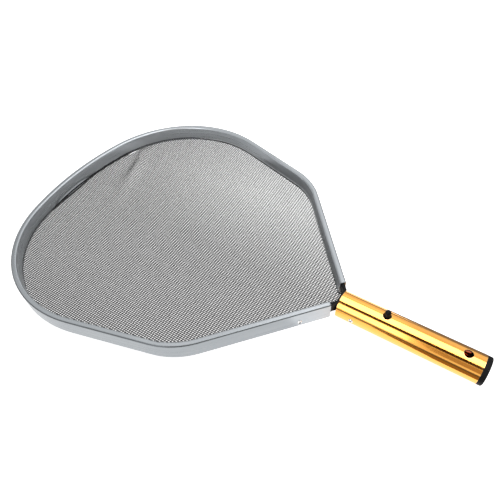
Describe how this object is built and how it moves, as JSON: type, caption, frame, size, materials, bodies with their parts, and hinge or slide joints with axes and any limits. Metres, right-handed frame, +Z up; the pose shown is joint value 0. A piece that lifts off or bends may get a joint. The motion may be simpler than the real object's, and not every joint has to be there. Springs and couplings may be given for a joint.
{
  "type": "leaf skimmer net",
  "caption": "Flat leaf skimmer net head for a pool pole: rounded kite-shaped aluminium rim, fine net, black yoke and a gold tube handle with sprung snap buttons.",
  "frame": {"origin": "centre of the handle tube's pole end, on the tube's axis", "axes": "+X along the handle, out of its pole end; +Z up, out of the open side of the net's shallow tray; +Y to the left seen from the pole end, looking at the net"},
  "size_m": [0.539, 0.357, 0.0446],
  "materials": {
    "rim_aluminium": "satin grey powder coat",
    "net_fabric": "fine woven polyester net",
    "spline_vinyl": "matte",
    "black_plastic": "moulded satin",
    "gold_anodised": "bright gold anodised",
    "bright_steel": "bright"
  },
  "bodies": {
    "root": {"rim_frame": "rim_aluminium", "net_mesh": "net_fabric", "mesh_spline": "spline_vinyl", "yoke": "black_plastic", "handle_tube": "gold_anodised", "end_cap": "black_plastic", "clip_bend": "black_plastic", "frame_screw_left": "bright_steel", "frame_screw_right": "bright_steel", "tube_rivet_left": "bright_steel", "tube_rivet_right": "bright_steel"},
    "top_button": {"snap_button_top": "black_plastic"},
    "bottom_button": {"snap_button_bottom": "black_plastic"}
  },
  "joints": [
    {"name": "top_button_press", "type": "hinge", "parent": "root", "child": "top_button", "pos_m": [-0.0375, 0, 0.006], "axis": [0, -1, 0], "range_deg": [0, 8.5], "stiffness_Nm_per_rad": 6, "springref_deg": -5.73},
    {"name": "bottom_button_press", "type": "hinge", "parent": "root", "child": "bottom_button", "pos_m": [-0.0375, 0, -0.006], "axis": [0, 1, 0], "range_deg": [0, 8.5], "stiffness_Nm_per_rad": 6, "springref_deg": -5.73}
  ]
}
